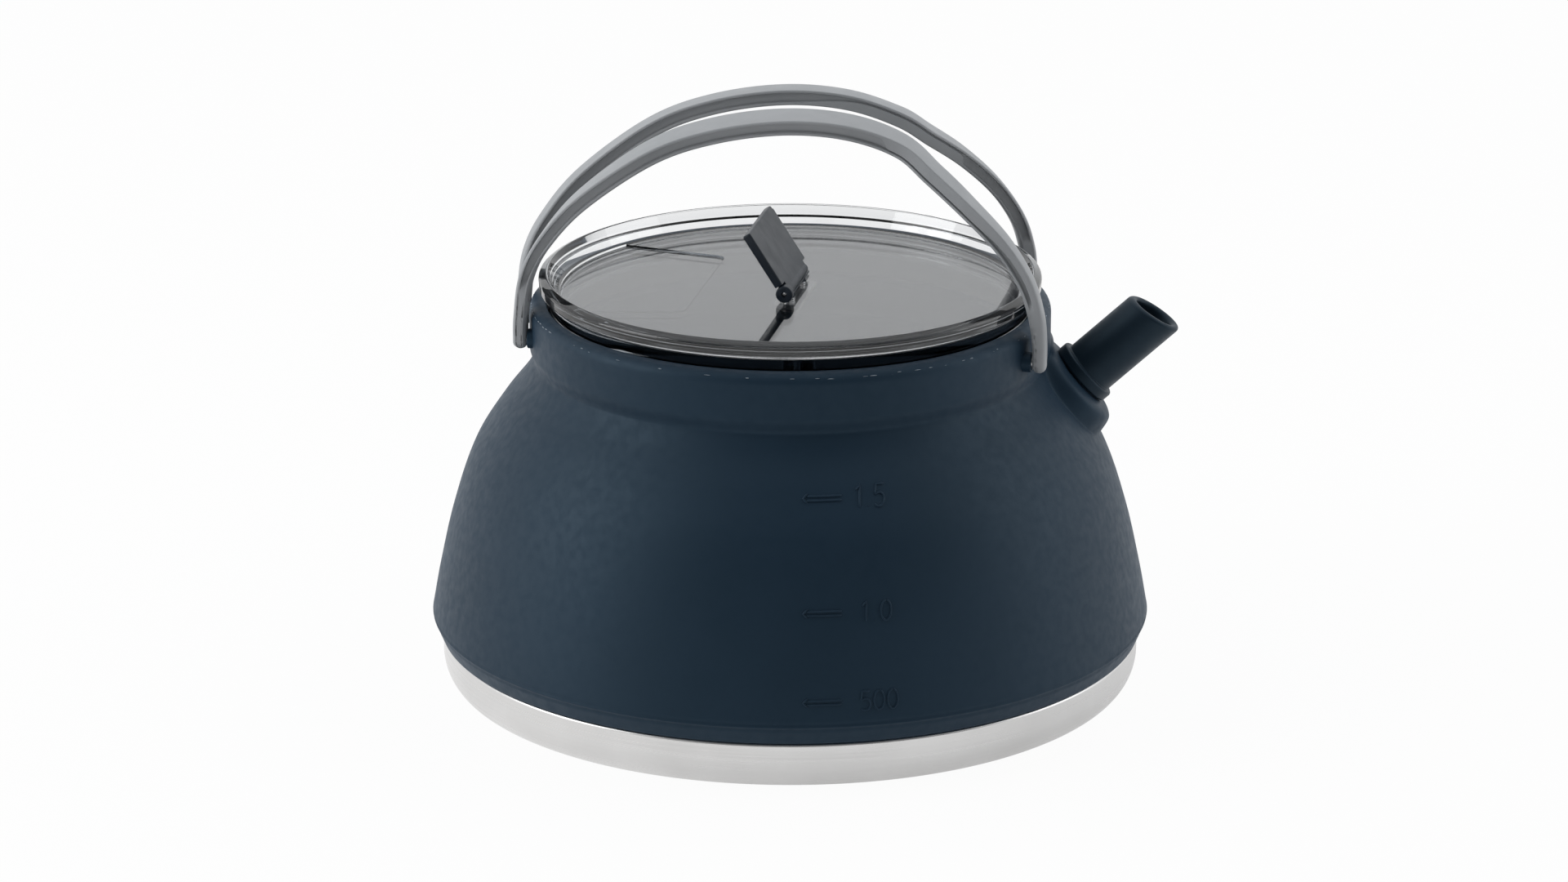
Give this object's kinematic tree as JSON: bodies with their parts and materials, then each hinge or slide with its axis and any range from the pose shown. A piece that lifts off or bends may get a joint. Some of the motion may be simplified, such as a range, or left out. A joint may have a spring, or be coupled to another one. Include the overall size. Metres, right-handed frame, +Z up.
{
  "type": "collapsible kettle",
  "caption": "Collapsible kettle: steel pan base, silicone wall that folds down, stub spout, see-through lid with fold-down knob, and arched handle loops that swing apart",
  "frame": {"origin": "centre of the kettle's underside, on the surface that it stands on", "axes": "+Z up, +X toward the spout, +Y away from the side with the fill marks"},
  "size_m": [0.1892, 0.1818, 0.1499],
  "materials": {
    "satin_steel": "satin, turned",
    "disc_aluminium": "matt",
    "navy_silicone": "satin, moulded",
    "dark_silicone": "satin, moulded",
    "grey_nylon": "fine satin",
    "grey_frame_plastic": "satin",
    "smoked_clear_plastic": "clear, glossy",
    "dark_gasket_rubber": "matt",
    "navy_plastic": "fine satin"
  },
  "bodies": {
    "base": {"base_pan": "satin_steel", "heat_spreader": "disc_aluminium", "body_lower_wall": "navy_silicone", "body_fold_wall": "navy_silicone"},
    "neck": {"body_shoulder": "navy_silicone", "neck_frame": "grey_frame_plastic", "spout_tube": "dark_silicone", "spout_retaining_ring": "grey_frame_plastic", "pivot_pin_front_left": "satin_steel", "pivot_pin_front_right": "satin_steel", "pivot_pin_rear_left": "satin_steel", "pivot_pin_rear_right": "satin_steel", "pivot_bush_front_left": "navy_silicone", "pivot_bush_front_right": "navy_silicone", "pivot_bush_rear_left": "navy_silicone", "pivot_bush_rear_right": "navy_silicone"},
    "front_bail": {"handle_front": "grey_nylon"},
    "rear_bail": {"handle_rear": "grey_nylon"},
    "lid_seal": {"lid_gasket": "dark_gasket_rubber"},
    "lid": {"lid_shell": "smoked_clear_plastic", "knob_bracket": "navy_plastic", "knob_retainer": "grey_frame_plastic"},
    "knob": {"knob_flap": "navy_plastic", "knob_hinge_pin": "satin_steel"}
  },
  "joints": [
    {"name": "body_collapse", "type": "slide", "parent": "base", "child": "neck", "axis": [0, 0, -1], "range_m": [0, 0.032], "deforming": ["body_fold_wall"]},
    {"name": "handle_front_fold", "type": "hinge", "parent": "neck", "child": "front_bail", "pos_m": [-0.0673, -0.0102, 0.091], "axis": [0.9872, -0.1595, 0], "range_deg": [-5, 105]},
    {"name": "handle_rear_fold", "type": "hinge", "parent": "neck", "child": "rear_bail", "pos_m": [-0.0673, 0.0102, 0.091], "axis": [-0.9872, -0.1595, 0], "range_deg": [-5, 105]},
    {"name": "lid_lift", "type": "slide", "parent": "neck", "child": "lid_seal", "axis": [0, 0, 1], "range_m": [0, 0.0035]},
    {"name": "lid_turn", "type": "hinge", "parent": "lid_seal", "child": "lid", "pos_m": [0, 0, 0.098], "axis": [0, 0, 1], "continuous": true},
    {"name": "knob_fold", "type": "hinge", "parent": "lid", "child": "knob", "pos_m": [0.00108, 0.00029, 0.103], "axis": [0.1977, 0.9803, 0], "range_deg": [0, 125]}
  ]
}
